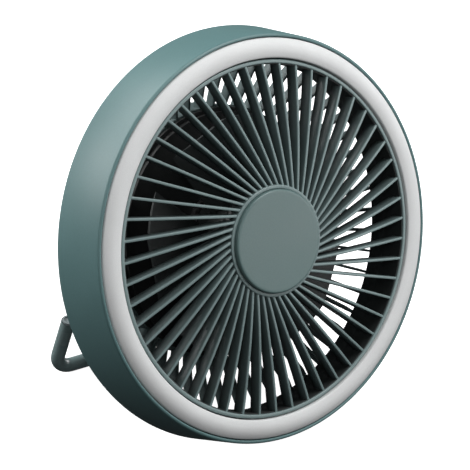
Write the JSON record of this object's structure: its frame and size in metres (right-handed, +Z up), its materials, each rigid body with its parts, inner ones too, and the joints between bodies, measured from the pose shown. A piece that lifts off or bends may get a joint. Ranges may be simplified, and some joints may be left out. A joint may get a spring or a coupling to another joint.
{
  "type": "rechargeable ceiling fan",
  "caption": "Portable round fan with a ring lamp round a swirl-rib grille, a domed rear guard with a battery pod, and a wire bail that hangs it up or props it on a table.",
  "frame": {"origin": "middle of the fan's footprint on the table, at table height, as it stands on its drum and bail", "axes": "+X along the bail's crossbar, to the right as seen from the front; the fan faces -Y and up; +Z up"},
  "size_m": [0.2048, 0.1439, 0.1826],
  "materials": {
    "drum": "satin",
    "grille": "satin",
    "hub_cap": "satin",
    "guard": "satin",
    "diffuser": "gloss, milky",
    "reflector": "matt",
    "board": "solder mask",
    "led": "phosphor",
    "duct": "matt",
    "impeller": "satin",
    "steel": "bright",
    "magnet": "matt",
    "motor_base": "satin",
    "core": "laminated",
    "copper": "enamelled",
    "pod_cup": "matt",
    "pod": "satin",
    "tray": "matt",
    "cell": "shrink sleeve",
    "switch": "matt",
    "socket": "bright",
    "button": "satin",
    "screw": "blackened",
    "bail": "satin",
    "bail_cap": "satin",
    "bush": "nylon"
  },
  "bodies": {
    "fan": {"drum_housing": "drum", "front_grille": "grille", "hub_cap": "hub_cap", "rear_guard": "guard", "light_diffuser": "diffuser", "light_reflector": "reflector", "led_ring_board": "board", "driver_board": "board", "control_board": "board", "leds": "led", "air_duct": "duct", "motor_bearings": "steel", "motor_base": "motor_base", "stator_core": "core", "stator_windings": "copper", "battery_pod": "pod_cup", "pod_cover": "pod", "battery_tray": "tray", "battery_cells": "cell", "tact_switches": "switch", "usb_socket": "socket", "guard_screws": "screw", "motor_screws": "screw", "cover_screws": "screw", "pivot_bushes": "bush"},
    "rotor": {"impeller": "impeller", "rotor_can": "steel", "rotor_magnet": "magnet", "motor_shaft": "steel", "shaft_clip": "steel"},
    "bail": {"bail_tube": "bail", "bail_end_caps": "bail_cap", "pivot_pins": "steel"},
    "fan_button": {"fan_button": "button"},
    "light_button": {"light_button": "button"}
  },
  "joints": [
    {"name": "impeller_spin", "type": "hinge", "parent": "fan", "child": "rotor", "pos_m": [0, -0.01524, 0.10096], "axis": [0, -0.8208, 0.5712], "continuous": true},
    {"name": "bail_swing", "type": "hinge", "parent": "fan", "child": "bail", "pos_m": [0, 0.02209, 0.0338], "axis": [1, 0, 0], "range_deg": [-33, 143]},
    {"name": "fan_button_press", "type": "slide", "parent": "fan", "child": "fan_button", "axis": [0, -0.8208, 0.5712], "range_m": [0, 0.0008], "stiffness_N_per_m": 1500},
    {"name": "light_button_press", "type": "slide", "parent": "fan", "child": "light_button", "axis": [0, -0.8208, 0.5712], "range_m": [0, 0.0008], "stiffness_N_per_m": 1500}
  ]
}
